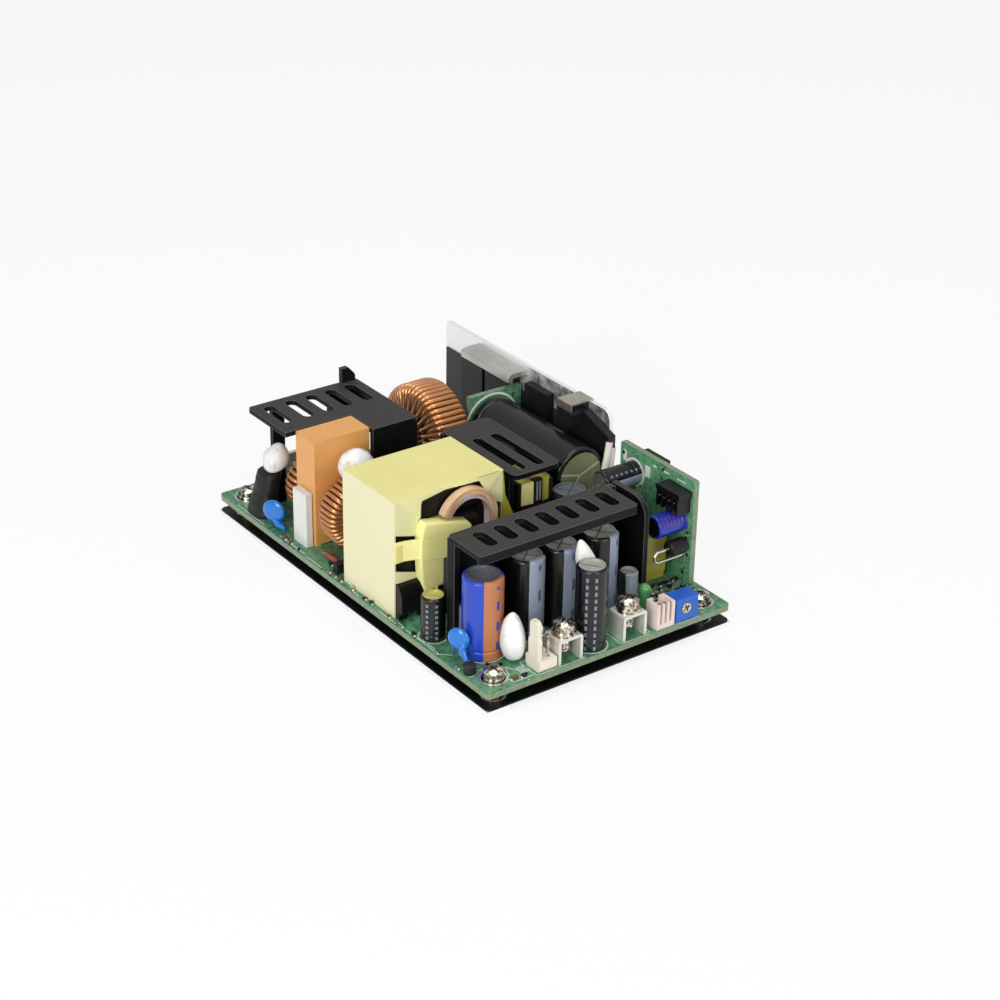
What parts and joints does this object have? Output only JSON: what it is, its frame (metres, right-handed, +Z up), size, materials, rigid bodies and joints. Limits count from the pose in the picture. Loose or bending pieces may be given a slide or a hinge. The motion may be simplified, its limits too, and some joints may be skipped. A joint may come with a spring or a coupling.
{
  "type": "open frame power supply",
  "caption": "Open frame power supply: a populated circuit board on an aluminium base with a folded cooling wall, slotted black heat sinks, wound chokes and a taped transformer.",
  "frame": {"origin": "middle of the bounding box in X and Y, on the underside of the base plate", "axes": "+X across the board towards the folded wall, +Y along the board towards the mains input end, +Z up"},
  "size_m": [0.0776, 0.127, 0.0411],
  "materials": {
    "aluminium_sheet": "rolled, satin",
    "black_film": "satin film",
    "nickel_plate": "nickel plated",
    "green_board": "solder mask",
    "ferrite": "sintered, dull",
    "black_plastic": "moulded",
    "yellow_tape": "polyester tape",
    "copper_foil": "copper under clear film",
    "black_anodised": "black anodised",
    "orange_plastic": "moulded",
    "white_plastic": "moulded",
    "grey_plastic": "moulded",
    "core_coating": "coated powder core",
    "enamelled_copper": "enamelled, glossy",
    "black_sleeve": "shrunk sleeve",
    "blue_sleeve": "shrunk sleeve",
    "blue_epoxy": "dipped",
    "blue_plastic": "moulded",
    "white_silicone": "cured bead",
    "green_lens": "tinted resin",
    "spring_steel": "plated spring strip"
  },
  "bodies": {
    "supply": {"base_plate": "aluminium_sheet", "insulating_sheet": "black_film", "wall_insulator": "black_film", "standoffs": "nickel_plate", "circuit_board": "green_board", "board_screws": "nickel_plate", "transformer_core": "ferrite", "transformer_bobbin": "black_plastic", "transformer_coil": "yellow_tape", "transformer_foil": "copper_foil", "transformer_tape": "yellow_tape", "input_heat_sink": "black_anodised", "bridge_rectifier": "black_plastic", "boost_heat_sink": "black_anodised", "output_heat_sink": "black_anodised", "output_rectifiers": "black_plastic", "film_capacitor": "orange_plastic", "box_capacitor": "white_plastic", "rear_choke_core": "core_coating", "rear_choke_winding": "enamelled_copper", "front_choke_core": "core_coating", "front_choke_winding": "enamelled_copper", "boost_choke_core": "core_coating", "boost_choke_winding": "enamelled_copper", "bulk_capacitor": "black_sleeve", "riser_board": "green_board", "blue_capacitor": "blue_sleeve", "left_capacitor": "black_sleeve", "middle_capacitor": "black_sleeve", "right_capacitor": "black_sleeve", "front_capacitor": "black_sleeve", "small_capacitor": "black_sleeve", "supply_capacitor": "black_sleeve", "storage_capacitor": "black_sleeve", "bypass_capacitor": "grey_plastic", "rear_disc_capacitor": "blue_epoxy", "front_disc_capacitor": "blue_epoxy", "sleeved_varistor": "black_sleeve", "silicone_beads": "white_silicone", "signal_header": "white_plastic", "output_header": "white_plastic", "input_header": "white_plastic", "header_pins": "nickel_plate", "screw_terminals": "nickel_plate", "terminal_screws": "nickel_plate", "indicator_led": "green_lens", "trimmer_body": "blue_plastic", "control_board": "green_board", "grey_capacitor": "black_sleeve", "control_capacitor": "blue_sleeve", "control_socket": "black_plastic", "axial_diode": "black_plastic", "control_chip": "black_plastic", "auxiliary_transformer": "yellow_tape", "clamp_bar": "aluminium_sheet", "wall_transistors": "black_plastic", "spring_clip": "spring_steel", "thermal_sensor": "black_sleeve", "pulse_transformer": "yellow_tape"},
    "rotor": {"trimmer_rotor": "nickel_plate"}
  },
  "joints": [
    {"name": "trimmer_turn", "type": "hinge", "parent": "supply", "child": "rotor", "pos_m": [0.02265, -0.0631, 0.0098], "axis": [0, -1, 0], "range_deg": [-120, 120]}
  ]
}
